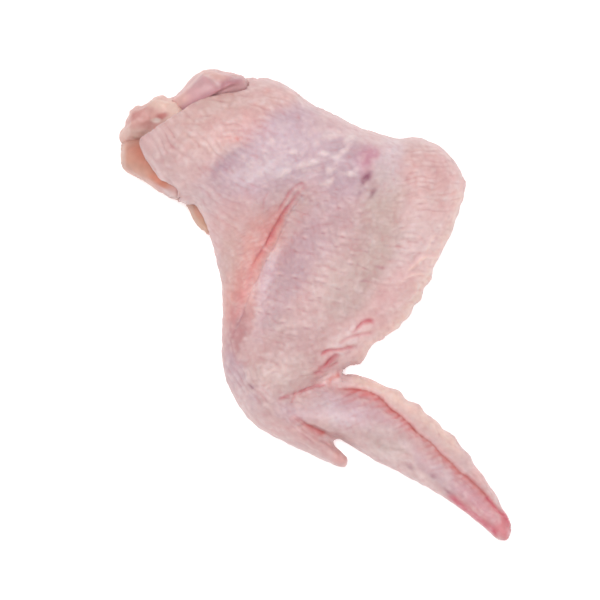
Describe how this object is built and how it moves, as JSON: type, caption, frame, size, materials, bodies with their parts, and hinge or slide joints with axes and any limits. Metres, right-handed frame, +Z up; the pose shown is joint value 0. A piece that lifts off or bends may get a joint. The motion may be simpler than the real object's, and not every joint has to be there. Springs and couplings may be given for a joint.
{
  "type": "raw chicken wing",
  "caption": "Whole raw chicken wing lying folded in a Z, with pink skin, a scalloped tip, and meat and bone end showing at the cut shoulder.",
  "frame": {"origin": "on the table, at the middle of the bottom of the wing's box", "axes": "+Y from the wing tip's end towards the shoulder and elbow, +X from the shoulder towards the elbow, +Z up from the table"},
  "size_m": [0.1236, 0.1478, 0.0315],
  "materials": {
    "raw_skin": "moist raw poultry skin",
    "raw_meat": "moist raw poultry flesh",
    "cartilage": "moist cartilage over bone"
  },
  "bodies": {
    "root": {"wing_skin": "raw_skin", "drumette_meat": "raw_meat", "humerus": "cartilage"}
  },
  "joints": []
}
